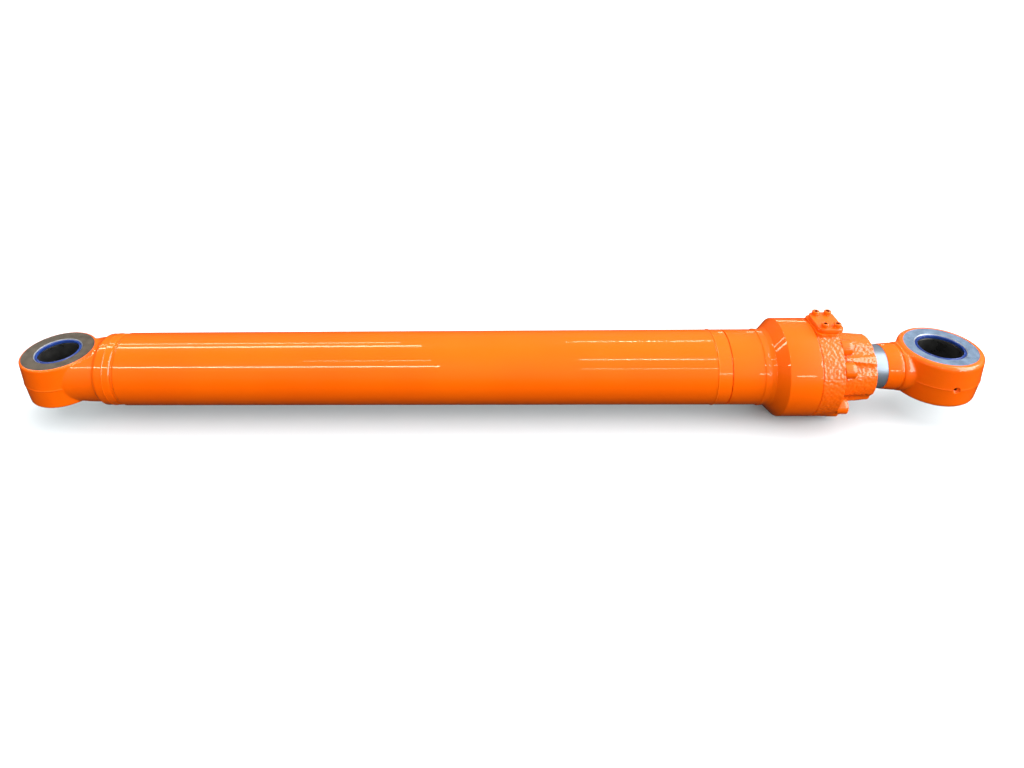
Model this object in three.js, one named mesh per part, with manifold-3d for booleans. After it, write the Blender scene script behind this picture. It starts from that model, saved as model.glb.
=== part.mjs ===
// Double-acting hydraulic cylinder of an excavator boom, fully retracted.
// Millimetres. The origin is the centre of the pin bore at the cap end. +X runs along the
// cylinder to the rod eye, +Z is the way the pins run, with the head port on top.
import * as THREE from "three";
import { mergeVertices } from "three/addons/utils/BufferGeometryUtils.js";
import Module from "manifold-3d";

const wasm = await Module();
wasm.setup();

// ---- driving dimensions -------------------------------------------------------------------

const GAP = 0.3; // gap left between pieces that touch
const TURN_GAP = 0.7; // radial gap where many-sided pieces turn in each other
const SIDES = 24; // sides of every round piece about the cylinder's axis
const EYE_SIDES = 28; // sides of every round piece about a pin
const SMALL_SIDES = 12; // sides of the bolts and bolt holes

const PIN_TO_PIN = 2050; // centre to centre of the pins, rod in
const BORE_R = 72.5;
const TUBE_R = 86;
const ROD_R = 50;

const PIN_R = 45;
const EYE_HALF = 52.5; // half the thickness of an eye
const BUSH_R = 51; // outside of the bush pressed into an eye
const BUSH_HALF = 44; // half the length of that bush
const SEAL_INSET = 1; // how far a dust seal sits below the face of its eye
// An eye's flat face ends at r = face. The rounded edge takes it to r = side, and it is widest
// at its middle.
const CAP_EYE = { face: 80.5, edge: 3.5, side: 84, middle: 87 };
const ROD_EYE = { face: 76, edge: 9, side: 86, middle: 90 };

const CAP_STEM_R = 77;
const CAP_RING_R = 84.5;
const CAP_RING_START = 112;
const TUBE_START = 157;
const CAP_SPIGOT = 21; // how far the cap reaches into the tube

const COLLAR_R = 112;
const COLLAR_START = 1656; // where the cone meets the tube
const COLLAR_CONE = 26; // length of the cone
const TUBE_END = 1700; // the tube ends inside the collar
const JOINT_X = 1751; // parting face between collar and gland head
const FLANGE = 47;
const NOSE = 86;
const NOSE_R = { root: 83, front: 75.4 };
const SPIGOT_START = 1650; // inner end of the gland head

const HEAD_BOLT = { r: 12, head: 24, headR: 18, key: 19, depth: 12 };
const HEAD_BOLT_CIRCLE_R = 96;
const HEAD_BOLT_ANGLES = [30, 60, 120, 150, 210, 240, 300, 330];
const POCKET_R = 24;

const PORT_BOLT = { r: 5, head: 10, headR: 8, key: 8, depth: 5 };
const PORT_R = 12.5;
const PORT_SPACING = [26.2, 52.4];
const PORT_PLATE = { width: 54, length: 76, thickness: 10, corner: 13 };
const HEAD_PORT_X = JOINT_X + 31.3;
const HEAD_PORT_TOP = 113; // height of the machined pad above the axis
const CAP_PORT_X = 206;
const CAP_PORT_TOP = 102;

const NOSE_FRONT = JOINT_X + FLANGE + NOSE;
const FLANGE_FRONT = JOINT_X + FLANGE;
const CAP_FACE = TUBE_START + CAP_SPIGOT;

const ROD_END = CAP_FACE + 2;
const STUB_R = 40; // turned end of the rod that carries the piston
const NUT = { start: ROD_END + 2, length: 44, r: 58 };
const PISTON = { start: NUT.start + NUT.length + GAP, length: 80, r: 71.5 };
const CUSHION = { start: PISTON.start + PISTON.length + GAP, length: 40, r: 58 };
const ROD_SHOULDER = CUSHION.start + CUSHION.length + GAP;
const ROD_WELD = 1921; // where the chromed rod meets the forged eye
const NECK_X = 1954; // groove round the neck of the rod eye

const RING_R = BORE_R - GAP; // outside of every ring that runs on the bore

// Seals as [first x, last x, groove radius], in the order they lie.
const PISTON_GROOVES = {
  contamination_ring_rear: [6, 10, 67],
  wear_ring_rear: [14, 26, 69.5],
  piston_seal: [32, 48, 62],
  wear_ring_front: [54, 66, 69.5],
  contamination_ring_front: [70, 74, 67],
};
const GLAND_GROOVES = {
  rod_bushing: [49, 89, 54],
  buffer_seal: [93, 101, 57],
  rod_seal: [105, 114, 58],
  rod_seal_backup_ring: [114, 117, 58],
  wiper_seal: [121, 129, 58],
  wiper_retaining_ring: [129, 133, 58],
};
const SPIGOT_GROOVES = {
  gland_o_ring: [-30, -24, 67],
  gland_backup_ring: [-24, -20, 67],
};

// ---- materials ----------------------------------------------------------------------------

const finish = (color, roughness, metalness) =>
  new THREE.MeshStandardMaterial({ color, roughness, metalness });
const MATERIAL = {
  paint: finish(0xff7a0a, 0.25, 0),
  castPaint: finish(0xff7f33, 0.45, 0),
  chrome: finish(0xc8ccd0, 0.12, 1),
  steel: finish(0x8d8f92, 0.4, 1),
  bush: finish(0x3a3733, 0.35, 1),
  bronze: finish(0xa8793f, 0.4, 1),
  urethane: finish(0x1a4fb4, 0.45, 0),
  rubber: finish(0x161616, 0.7, 0),
  nylon: finish(0x6e2b22, 0.6, 0),
};

// ---- geometry helpers ---------------------------------------------------------------------

// A closed geometry as a solid whose faces point out.
function solid(geometry) {
  const bare = geometry.index ? geometry.toNonIndexed() : geometry.clone();
  bare.deleteAttribute("normal");
  bare.deleteAttribute("uv");
  const merged = mergeVertices(bare, 1e-3);
  const index = merged.index.array;
  const corners = [];
  for (let i = 0; i < index.length; i += 3) {
    const [a, b, c] = [index[i], index[i + 1], index[i + 2]];
    if (a !== b && b !== c && c !== a) corners.push(a, b, c);
  }
  const vertProperties = new Float32Array(merged.attributes.position.array);
  const make = (list) =>
    new wasm.Manifold(new wasm.Mesh({ numProp: 3, vertProperties, triVerts: new Uint32Array(list) }));
  const made = make(corners);
  return made.volume() > 0 ? made : make(corners.reverse());
}

// A solid back as a three.js geometry.
function geometryOf(made) {
  const mesh = made.getMesh();
  const points = [];
  for (let i = 0; i < mesh.numVert; i++) {
    const at = i * mesh.numProp;
    points.push(mesh.vertProperties[at], mesh.vertProperties[at + 1], mesh.vertProperties[at + 2]);
  }
  const geometry = new THREE.BufferGeometry();
  geometry.setAttribute("position", new THREE.Float32BufferAttribute(points, 3));
  geometry.setIndex(Array.from(mesh.triVerts));
  geometry.computeVertexNormals();
  return geometry;
}

// A profile of [along the axis, radius] points turned about +Y. A profile that starts off the
// axis closes on itself.
function lathe(profile, sides) {
  const points = profile.map(([along, r]) => new THREE.Vector2(r, along));
  if (profile[0][1] > 0) points.push(points[0].clone());
  return new THREE.LatheGeometry(points, sides);
}
const turnedX = (profile, sides = SIDES) => lathe(profile, sides).rotateZ(-Math.PI / 2);
const turnedZ = (profile, sides = EYE_SIDES) => lathe(profile, sides).rotateX(Math.PI / 2);

// A plain ring or rod about the cylinder's axis.
const ringX = (x0, x1, inner, outer) =>
  turnedX([[x0, inner], [x0, outer], [x1, outer], [x1, inner]]);
const rodX = (x0, x1, r, sides = SIDES) => turnedX([[x0, 0], [x0, r], [x1, r], [x1, 0]], sides);
const ringZ = (z0, z1, inner, outer) =>
  turnedZ([[z0, inner], [z0, outer], [z1, outer], [z1, inner]]);
const rodZ = (z0, z1, r, sides = EYE_SIDES) => turnedZ([[z0, 0], [z0, r], [z1, r], [z1, 0]], sides);

// A rectangle with cut corners in X and Y, raised along Z.
function plate(width, length, corner, z0, z1) {
  const [w, l, c] = [width / 2, length / 2, corner];
  const outline = [[w - c, -l], [w, c - l], [w, l - c], [w - c, l],
    [c - w, l], [-w, l - c], [-w, c - l], [c - w, -l]];
  const shape = new THREE.Shape(outline.map(([x, y]) => new THREE.Vector2(x, y)));
  return new THREE.ExtrudeGeometry(shape, { depth: z1 - z0, bevelEnabled: false }).translate(0, 0, z0);
}

function box(x0, x1, y0, y1, z0, z1) {
  const geometry = new THREE.BoxGeometry(x1 - x0, y1 - y0, z1 - z0);
  return geometry.translate((x0 + x1) / 2, (y0 + y1) / 2, (z0 + z1) / 2);
}

const join = (first, ...rest) => rest.reduce((made, next) => made.add(solid(next)), solid(first));
const cut = (made, ...tools) => tools.reduce((left, tool) => left.subtract(solid(tool)), made);

function mesh(name, geometry, material) {
  const made = new THREE.Mesh(geometry, material);
  made.name = name;
  return made;
}

// ---- fasteners ----------------------------------------------------------------------------

// Socket-head screw along Z: the head's seat is at z = 0 and the head is above it.
function socketScrew(size, length) {
  const profile = [[-length, 0], [-length, size.r], [GAP, size.r], [GAP, size.headR],
    [size.head, size.headR], [size.head, 0]];
  const keyR = size.key / Math.sqrt(3);
  const socket = rodZ(size.head - size.depth, size.head + 1, keyR, 6);
  return geometryOf(cut(solid(turnedZ(profile, SMALL_SIDES)), socket));
}

const portCorners = [[-1, -1], [-1, 1], [1, -1], [1, 1]].map(([sx, sy]) =>
  [sx * PORT_SPACING[0] / 2, sy * PORT_SPACING[1] / 2]);

// Blanking plate, its O-ring and its four screws. The pad's face is at z = 0.
const PORT_GROOVE = { inner: 16, outer: 21, depth: 3 };
function portFittings(prefix) {
  const group = new THREE.Group();
  const { width, length, thickness, corner } = PORT_PLATE;
  const holes = portCorners.map(([x, y]) =>
    rodZ(-1, thickness + 2, PORT_BOLT.r + GAP + 0.2, SMALL_SIDES).translate(x, y, 0));
  const cover = cut(solid(plate(width, length, corner, GAP, GAP + thickness)), ...holes);
  group.add(mesh(prefix + "_port_cover", geometryOf(cover), MATERIAL.castPaint));
  const ring = ringZ(GAP - PORT_GROOVE.depth, 0, PORT_GROOVE.inner + GAP, PORT_GROOVE.outer - GAP);
  group.add(mesh(prefix + "_port_o_ring", ring, MATERIAL.rubber));
  const screw = socketScrew(PORT_BOLT, thickness + 12);
  portCorners.forEach(([x, y], i) => {
    const bolt = mesh(prefix + "_port_bolt_" + (i + 1), screw, MATERIAL.castPaint);
    bolt.position.set(x, y, GAP + thickness);
    group.add(bolt);
  });
  return group;
}

// What is cut out of the pad under those fittings, with the pad's face at z = 0.
function portCuts(depth) {
  const cuts = portCorners.map(([x, y]) =>
    rodZ(-13.5, 1, PORT_BOLT.r + GAP, SMALL_SIDES).translate(x, y, 0));
  cuts.push(rodZ(-depth, 1, PORT_R, 16));
  cuts.push(ringZ(-PORT_GROOVE.depth, 1, PORT_GROOVE.inner, PORT_GROOVE.outer));
  return cuts;
}

// ---- eyes ---------------------------------------------------------------------------------

const eyeBody = (eye) =>
  turnedZ([[-EYE_HALF, 0], [-EYE_HALF, eye.face], [eye.edge - EYE_HALF, eye.side], [-2, eye.middle],
    [2, eye.middle], [EYE_HALF - eye.edge, eye.side], [EYE_HALF, eye.face], [EYE_HALF, 0]]);
const eyeBore = () => rodZ(-EYE_HALF - 1, EYE_HALF + 1, BUSH_R + GAP);

function eyeFittings(prefix) {
  const group = new THREE.Group();
  group.add(mesh(prefix + "_eye_bush", ringZ(-BUSH_HALF, BUSH_HALF, PIN_R, BUSH_R), MATERIAL.bush));
  const seal = ringZ(BUSH_HALF + GAP, EYE_HALF - SEAL_INSET, PIN_R + GAP, BUSH_R);
  group.add(mesh(prefix + "_eye_dust_seal_upper", seal, MATERIAL.urethane));
  const lower = mesh(prefix + "_eye_dust_seal_lower", seal, MATERIAL.urethane);
  lower.rotation.x = Math.PI;
  group.add(lower);
  return group;
}

// ---- barrel -------------------------------------------------------------------------------

function capEnd() {
  const stem = solid(rodX(20, CAP_RING_START + 5, CAP_STEM_R));
  // Round the eye the stem is spot-faced a little below the eye's faces.
  const floor = EYE_HALF - 2.5;
  const spotFace = turnedZ([[floor, 0], [floor, CAP_EYE.side + 3], [floor + 28, CAP_EYE.side + 43],
    [floor + 28, 0]]);
  const ring = turnedX([[CAP_RING_START - 20, 0], [CAP_RING_START - 20, CAP_STEM_R - 16],
    [CAP_RING_START - 3, CAP_STEM_R], [CAP_RING_START + 4, CAP_RING_R - 3.5],
    [CAP_RING_START + 11, CAP_RING_R], [TUBE_START, CAP_RING_R], [TUBE_START, BORE_R - GAP],
    [CAP_FACE, BORE_R - GAP], [CAP_FACE, 0]]);
  const faced = cut(stem, spotFace, spotFace.clone().rotateX(Math.PI));
  return geometryOf(cut(faced.add(solid(eyeBody(CAP_EYE))).add(solid(ring)), eyeBore()));
}

function barrelTube() {
  const tube = solid(ringX(TUBE_START + GAP, TUBE_END, BORE_R, TUBE_R));
  const port = rodZ(0, TUBE_R + 5, PORT_R, 16).rotateX(-Math.PI / 2).translate(CAP_PORT_X, 0, 0);
  return geometryOf(cut(tube, port));
}

// The angle is measured about +X from -Y towards +Z.
function aroundAxis(angle, radius) {
  const turn = THREE.MathUtils.degToRad(angle);
  return [-Math.cos(turn) * radius, Math.sin(turn) * radius];
}

// One tool for each head bolt.
function boltTools(x0, x1, r, sides) {
  return HEAD_BOLT_ANGLES.map((angle) =>
    rodX(x0, x1, r, sides).translate(0, ...aroundAxis(angle, HEAD_BOLT_CIRCLE_R)));
}

const HEAD_BOLT_LENGTH = FLANGE + 43;
function barrelCollar() {
  const cone = COLLAR_START + COLLAR_CONE;
  const turned = turnedX([[COLLAR_START, TUBE_R + GAP], [COLLAR_START, TUBE_R + 1.5], [cone, COLLAR_R],
    [JOINT_X, COLLAR_R], [JOINT_X, BORE_R], [TUBE_END + GAP, BORE_R], [TUBE_END + GAP, TUBE_R + GAP]]);
  const holes = boltTools(FLANGE_FRONT - HEAD_BOLT_LENGTH - 2, JOINT_X + 1, HEAD_BOLT.r + GAP, SMALL_SIDES);
  return geometryOf(cut(solid(turned), ...holes));
}

// The boss is welded to the far side of the tube, with its face towards +Y.
function placeCapPort(object) {
  object.rotation.set(-Math.PI / 2, 0, -Math.PI / 2, "XZY");
  object.position.set(CAP_PORT_X, CAP_PORT_TOP, 0);
  object.updateMatrix();
  return object;
}

function capPortBoss() {
  const matrix = placeCapPort(new THREE.Object3D()).matrix;
  const block = plate(PORT_PLATE.width, PORT_PLATE.length + 4, PORT_PLATE.corner, -40, 0);
  block.applyMatrix4(matrix);
  const cuts = portCuts(45).map((tool) => tool.applyMatrix4(matrix));
  const seat = rodX(TUBE_START, TUBE_START + 200, TUBE_R + GAP);
  return geometryOf(cut(solid(block), seat, ...cuts));
}

// ---- gland head ---------------------------------------------------------------------------

// Grooves open towards the rod, as steps of the bore's profile.
function glandBore() {
  const steps = [[SPIGOT_START, 60], [JOINT_X + 45, 60], [JOINT_X + 45, ROD_R + 1]];
  const spans = [[49, 89, 54], [93, 101, 57], [105, 117, 58], [121, NOSE + FLANGE, 58]];
  for (const [from, to, r] of spans) {
    steps.push([JOINT_X + from, ROD_R + 1], [JOINT_X + from, r], [JOINT_X + to, r]);
    if (to < NOSE + FLANGE) steps.push([JOINT_X + to, ROD_R + 1]);
  }
  return steps;
}

function glandHead() {
  const back = JOINT_X + GAP;
  const groove = [JOINT_X - 30, JOINT_X - 20];
  const outside = [[NOSE_FRONT, NOSE_R.front], [FLANGE_FRONT, NOSE_R.root], [FLANGE_FRONT, COLLAR_R - 1.5],
    [FLANGE_FRONT - 1.5, COLLAR_R], [back, COLLAR_R], [back, RING_R], [groove[1], RING_R], [groove[1], 67],
    [groove[0], 67], [groove[0], RING_R], [SPIGOT_START, RING_R]];
  let head = solid(turnedX([...glandBore(), ...outside]));
  head = cut(head, ...boltTools(FLANGE_FRONT, NOSE_FRONT + 1, POCKET_R, SMALL_SIDES));
  const depth = HEAD_PORT_TOP - 85;
  const padWidth = FLANGE_FRONT - back - 0.7;
  const pad = plate(padWidth, PORT_PLATE.length + 8, 8, -depth, 0)
    .translate(FLANGE_FRONT - padWidth / 2, 0, HEAD_PORT_TOP);
  const shelf = box(FLANGE_FRONT - 10, FLANGE_FRONT + 10, -34, 34, 98, HEAD_PORT_TOP);
  const web = box(FLANGE_FRONT - 10, FLANGE_FRONT + 10, -20, 20, 75, HEAD_PORT_TOP);
  for (const piece of [pad, shelf, web]) head = head.add(solid(piece));
  const port = portCuts(HEAD_PORT_TOP - 56).map((tool) => tool.translate(HEAD_PORT_X, 0, HEAD_PORT_TOP));
  const holes = boltTools(back - 1, FLANGE_FRONT + 1, HEAD_BOLT.r + 1, SMALL_SIDES);
  return geometryOf(cut(head, ...port, ...holes));
}

// A ring that fills its groove but for the gaps; it runs on the rod, or on the bore.
const innerRing = ([from, to, r]) =>
  ringX(JOINT_X + from + GAP, JOINT_X + to, ROD_R + TURN_GAP, r - GAP);
const outerRing = (base, [from, to, r]) => ringX(base + from + GAP, base + to - GAP, r + TURN_GAP, RING_R);

// ---- rod assembly -------------------------------------------------------------------------

const pistonRod = () =>
  turnedX([[ROD_END, 0], [ROD_END, STUB_R - 2], [ROD_END + 2, STUB_R], [ROD_SHOULDER, STUB_R],
    [ROD_SHOULDER, ROD_R - 4], [ROD_SHOULDER + 4, ROD_R], [ROD_WELD - GAP, ROD_R], [ROD_WELD - GAP, 0]]);

function rodEye() {
  const neck = turnedX([[ROD_WELD, 0], [ROD_WELD, ROD_R + 0.6], [NECK_X - 4, 53.8], [NECK_X, 52.3],
    [NECK_X + 4, 55.5], [NECK_X + 8, 57], [NECK_X + 13, 61], [PIN_TO_PIN, 44], [PIN_TO_PIN, 0]]);
  const faces = [0, Math.PI].map((turn) =>
    rodZ(EYE_HALF, EYE_HALF + 30, ROD_EYE.side + 8).rotateX(turn).translate(PIN_TO_PIN, 0, 0));
  const forged = cut(solid(neck), ...faces).add(solid(eyeBody(ROD_EYE).translate(PIN_TO_PIN, 0, 0)));
  const bore = eyeBore().translate(PIN_TO_PIN, 0, 0);
  // Grease hole with a countersunk mouth, on the near side of the eye.
  const hole = turnedZ([[40, 0], [40, 4], [ROD_EYE.middle - 4, 4], [ROD_EYE.middle + 3, 11],
    [ROD_EYE.middle + 3, 0]], SMALL_SIDES);
  hole.rotateX(Math.PI / 2).translate(PIN_TO_PIN, 0, 0);
  return geometryOf(cut(forged, bore, hole));
}

function piston() {
  const profile = [[PISTON.start, STUB_R + GAP], [PISTON.start, PISTON.r]];
  const spans = Object.values(PISTON_GROOVES);
  for (const [from, to, r] of spans) {
    profile.push([PISTON.start + from, PISTON.r], [PISTON.start + from, r]);
    profile.push([PISTON.start + to, r], [PISTON.start + to, PISTON.r]);
  }
  const end = PISTON.start + PISTON.length;
  profile.push([end, PISTON.r], [end, STUB_R + GAP]);
  // An O-ring in the piston's own bore seals it to the rod.
  profile.push([PISTON.start + 44, STUB_R + GAP], [PISTON.start + 44, STUB_R + 5]);
  profile.push([PISTON.start + 37, STUB_R + 5], [PISTON.start + 37, STUB_R + GAP]);
  return turnedX(profile);
}
const pistonORing = () =>
  ringX(PISTON.start + 37 + GAP, PISTON.start + 44 - GAP, STUB_R + GAP, STUB_R + 5 - GAP);

// Round nut with spanner slots across its end and a set screw in its side.
const SET_SCREW_R = 5;
function pistonNut() {
  const end = NUT.start + NUT.length;
  const body = solid(ringX(NUT.start, end, STUB_R + GAP, NUT.r));
  const slots = [1, 3].map((eighths) =>
    box(NUT.start - 1, NUT.start + 8, -6, 6, -NUT.r - 1, NUT.r + 1).rotateX(eighths * Math.PI / 4));
  const hole = rodZ(STUB_R - 1, NUT.r + 1, SET_SCREW_R + GAP, SMALL_SIDES);
  hole.translate(NUT.start + NUT.length / 2, 0, 0);
  return geometryOf(cut(body, ...slots, hole));
}
const nutSetScrew = () =>
  cut(solid(rodZ(STUB_R + GAP, NUT.r - 1, SET_SCREW_R, SMALL_SIDES)), rodZ(NUT.r - 6, NUT.r, 2.9, 6));

const cushionRing = () => {
  const end = CUSHION.start + CUSHION.length;
  return turnedX([[CUSHION.start, STUB_R + GAP], [CUSHION.start, CUSHION.r], [end - 8, CUSHION.r],
    [end, CUSHION.r - 1.5], [end, STUB_R + GAP]]);
};

// ---- assembly -----------------------------------------------------------------------------

const cylinder = new THREE.Group();

const barrel = new THREE.Group();
barrel.add(mesh("cap_end", capEnd(), MATERIAL.paint));
barrel.add(mesh("barrel_tube", barrelTube(), MATERIAL.paint));
barrel.add(mesh("barrel_collar", barrelCollar(), MATERIAL.paint));
barrel.add(mesh("cap_port_boss", capPortBoss(), MATERIAL.paint));
barrel.add(mesh("gland_head", glandHead(), MATERIAL.castPaint));
barrel.add(eyeFittings("cap"));
barrel.add(placeCapPort(portFittings("cap")));

const headPort = portFittings("head");
headPort.position.set(HEAD_PORT_X, 0, HEAD_PORT_TOP);
barrel.add(headPort);

const headBolt = socketScrew(HEAD_BOLT, HEAD_BOLT_LENGTH);
HEAD_BOLT_ANGLES.forEach((angle, i) => {
  const bolt = mesh("head_bolt_" + (i + 1), headBolt, MATERIAL.castPaint);
  bolt.rotation.y = Math.PI / 2;
  bolt.position.set(FLANGE_FRONT, ...aroundAxis(angle, HEAD_BOLT_CIRCLE_R));
  barrel.add(bolt);
});

const INNER_RING_MATERIAL = {
  rod_bushing: MATERIAL.bronze,
  wiper_retaining_ring: MATERIAL.steel,
  rod_seal_backup_ring: MATERIAL.nylon,
};
for (const [name, span] of Object.entries(GLAND_GROOVES)) {
  barrel.add(mesh(name, innerRing(span), INNER_RING_MATERIAL[name] ?? MATERIAL.urethane));
}
for (const [name, span] of Object.entries(SPIGOT_GROOVES)) {
  const material = name.includes("o_ring") ? MATERIAL.rubber : MATERIAL.nylon;
  barrel.add(mesh(name, outerRing(JOINT_X, span), material));
}
cylinder.add(barrel);

const pistonRings = new THREE.Group();
for (const [name, span] of Object.entries(PISTON_GROOVES)) {
  const material = name === "piston_seal" ? MATERIAL.urethane : MATERIAL.nylon;
  pistonRings.add(mesh(name, outerRing(PISTON.start, span), material));
}
cylinder.add(pistonRings);

const rod = new THREE.Group();
rod.add(mesh("piston_rod", pistonRod(), MATERIAL.chrome));
rod.add(mesh("rod_eye", rodEye(), MATERIAL.paint));
rod.add(mesh("piston", piston(), MATERIAL.steel));
rod.add(mesh("piston_o_ring", pistonORing(), MATERIAL.rubber));
rod.add(mesh("piston_nut", pistonNut(), MATERIAL.steel));
rod.add(mesh("cushion_ring", cushionRing(), MATERIAL.steel));
const setScrew = mesh("nut_set_screw", geometryOf(nutSetScrew()), MATERIAL.steel);
setScrew.position.x = NUT.start + NUT.length / 2;
rod.add(setScrew);
const rodEyeFittings = eyeFittings("rod");
rodEyeFittings.position.x = PIN_TO_PIN;
rod.add(rodEyeFittings);
cylinder.add(rod);

export default cylinder;
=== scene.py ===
"""Looks of a hydraulic boom cylinder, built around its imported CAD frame.

Lengths are in millimetres until a mesh is made. +X runs from the cap-end pin to the rod eye,
+Z runs along the pins, and the head port is on top.
"""
import math

import bmesh
import bpy
from mathutils import Matrix, Vector, noise

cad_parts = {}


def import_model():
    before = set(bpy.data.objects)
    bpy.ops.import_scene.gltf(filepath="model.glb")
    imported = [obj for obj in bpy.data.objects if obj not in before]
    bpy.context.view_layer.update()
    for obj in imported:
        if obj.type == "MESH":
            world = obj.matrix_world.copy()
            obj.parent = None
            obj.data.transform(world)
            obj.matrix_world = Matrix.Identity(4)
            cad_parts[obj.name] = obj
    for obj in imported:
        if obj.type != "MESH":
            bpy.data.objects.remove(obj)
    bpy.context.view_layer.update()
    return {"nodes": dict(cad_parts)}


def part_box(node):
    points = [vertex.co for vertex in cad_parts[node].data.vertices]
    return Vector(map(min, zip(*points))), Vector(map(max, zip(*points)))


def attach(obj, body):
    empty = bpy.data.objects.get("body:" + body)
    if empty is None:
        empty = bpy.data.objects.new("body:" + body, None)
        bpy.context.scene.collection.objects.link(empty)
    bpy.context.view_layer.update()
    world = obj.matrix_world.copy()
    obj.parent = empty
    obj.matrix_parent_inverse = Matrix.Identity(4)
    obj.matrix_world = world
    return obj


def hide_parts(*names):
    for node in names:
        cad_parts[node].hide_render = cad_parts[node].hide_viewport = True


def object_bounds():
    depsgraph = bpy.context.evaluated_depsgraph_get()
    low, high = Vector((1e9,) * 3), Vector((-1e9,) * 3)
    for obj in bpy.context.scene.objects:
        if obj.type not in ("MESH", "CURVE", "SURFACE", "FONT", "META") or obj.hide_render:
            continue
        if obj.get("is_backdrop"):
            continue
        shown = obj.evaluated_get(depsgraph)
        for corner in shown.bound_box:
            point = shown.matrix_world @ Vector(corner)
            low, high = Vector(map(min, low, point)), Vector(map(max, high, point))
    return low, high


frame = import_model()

MM = 0.001

# ---- brightness of the studio ---------------------------------------------------------------

BACKDROP = 1.05  # behind the object
SKY = 2.0  # soft light from every side above the floor
TILT = 0.7  # how much brighter the sky is towards +X
ROOM = 0.02  # what the paint mirrors

# ---- sizes taken from the frame -------------------------------------------------------------


def span(node, axis):
    """Lowest and highest coordinate of a CAD node along an axis, in mm."""
    low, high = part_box(node)
    return low[axis] / MM, high[axis] / MM


X, Y, Z = 0, 1, 2
GAP = 0.3  # between neighbouring solids

TUBE_START, TUBE_END = span("barrel_tube", X)
TUBE_R = span("barrel_tube", Z)[1]
COLLAR_START, JOINT_X = span("barrel_collar", X)
COLLAR_R = span("barrel_collar", Z)[1]
SPIGOT_START, NOSE_FRONT = span("gland_head", X)
CAP_FACE = span("cap_end", X)[1]
EYE_HALF = 52.5
BUSH_HALF = span("rod_eye_bush", Z)[1]
PIN_TO_PIN = sum(span("rod_eye_bush", X)) / 2
BUSH_R = span("rod_eye_bush", Y)[1]
ROD_R = span("piston_rod", Y)[1]
ROD_END, ROD_WELD = span("piston_rod", X)
HEAD_BOLT_HEAD = 24  # height of its head
FLANGE_FRONT = span("head_bolt_1", X)[1] - HEAD_BOLT_HEAD
HEAD_BOLT_R = (span("head_bolt_1", Y)[1] - span("head_bolt_1", Y)[0]) / 2
PIN_R = 45

BORE_R = 72.5
NOSE_R = (83, 75.4)
CAP_STEM_R = 77
CAP_RING_R = 84.5
CAP_RING_START = 112
RAISED_LINE = 1536.6  # a thin ridge round the tube
GROOVE_LINE = 1567
PARTING_Z = -3
CAP_EYE = {"edge": 3.5, "side": 84, "middle": 86.2, "bare": 79.4, "ridge": 0.6}
ROD_EYE = {"edge": 9, "side": 86, "middle": 89.1, "bare": 74.4, "ridge": 0.3}
PAD_TOP = span("head_port_cover", Z)[0] - GAP
PORT_X = sum(span("head_port_cover", X)) / 2
CAP_PORT_X = sum(span("cap_port_cover", X)) / 2
CAP_PAD_TOP = span("cap_port_cover", Y)[0] - GAP
PORT_R = 12.5
PORT_SPACING = (26.2, 52.4)

# ---- mesh tools -----------------------------------------------------------------------------

ARC_STEP = math.radians(18)
FINE = 144  # sides of the large round pieces
MEDIUM = 96
SMALL = 40
BEAD_SIDES = 288  # of a weld bead, enough for its ripples


def rounded(points, closed):
    """A profile of (along, radius, fillet) points as (along, radius) points with round corners."""
    line = []
    for i, (along, r, fillet) in enumerate(points):
        corner = Vector((along, r))
        at_end = not closed and i in (0, len(points) - 1)
        if fillet <= 0 or at_end:
            line.append(corner)
            continue
        back = Vector(points[i - 1][:2]) - corner
        ahead = Vector(points[(i + 1) % len(points)][:2]) - corner
        half = back.angle(ahead) / 2
        reach = min(fillet / math.tan(half), 0.48 * back.length, 0.48 * ahead.length)
        radius = reach * math.tan(half)
        centre = corner + (back.normalized() + ahead.normalized()).normalized() * radius / math.sin(half)
        start = corner + back.normalized() * reach - centre
        end = corner + ahead.normalized() * reach - centre
        steps = max(2, math.ceil((math.pi - 2 * half) / ARC_STEP))
        for k in range(steps + 1):
            line.append(centre + start.lerp(end, k / steps).normalized() * radius)
    return line


def new_piece(name, verts, faces, material=None):
    """A closed mesh object from vertices in mm, with its faces turned outwards."""
    mesh = bpy.data.meshes.new(name)
    mesh.from_pydata([Vector(v) * MM for v in verts], [], faces)
    piece = bpy.data.objects.new(name, mesh)
    bpy.context.scene.collection.objects.link(piece)
    if material:
        mesh.materials.append(material)
    face_out(mesh)
    return piece


def face_out(mesh):
    work = bmesh.new()
    work.from_mesh(mesh)
    bmesh.ops.remove_doubles(work, verts=work.verts, dist=1e-7)
    bmesh.ops.recalc_face_normals(work, faces=work.faces)
    if work.calc_volume(signed=True) < 0:
        bmesh.ops.reverse_faces(work, faces=work.faces)
    work.to_mesh(mesh)
    work.free()


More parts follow.
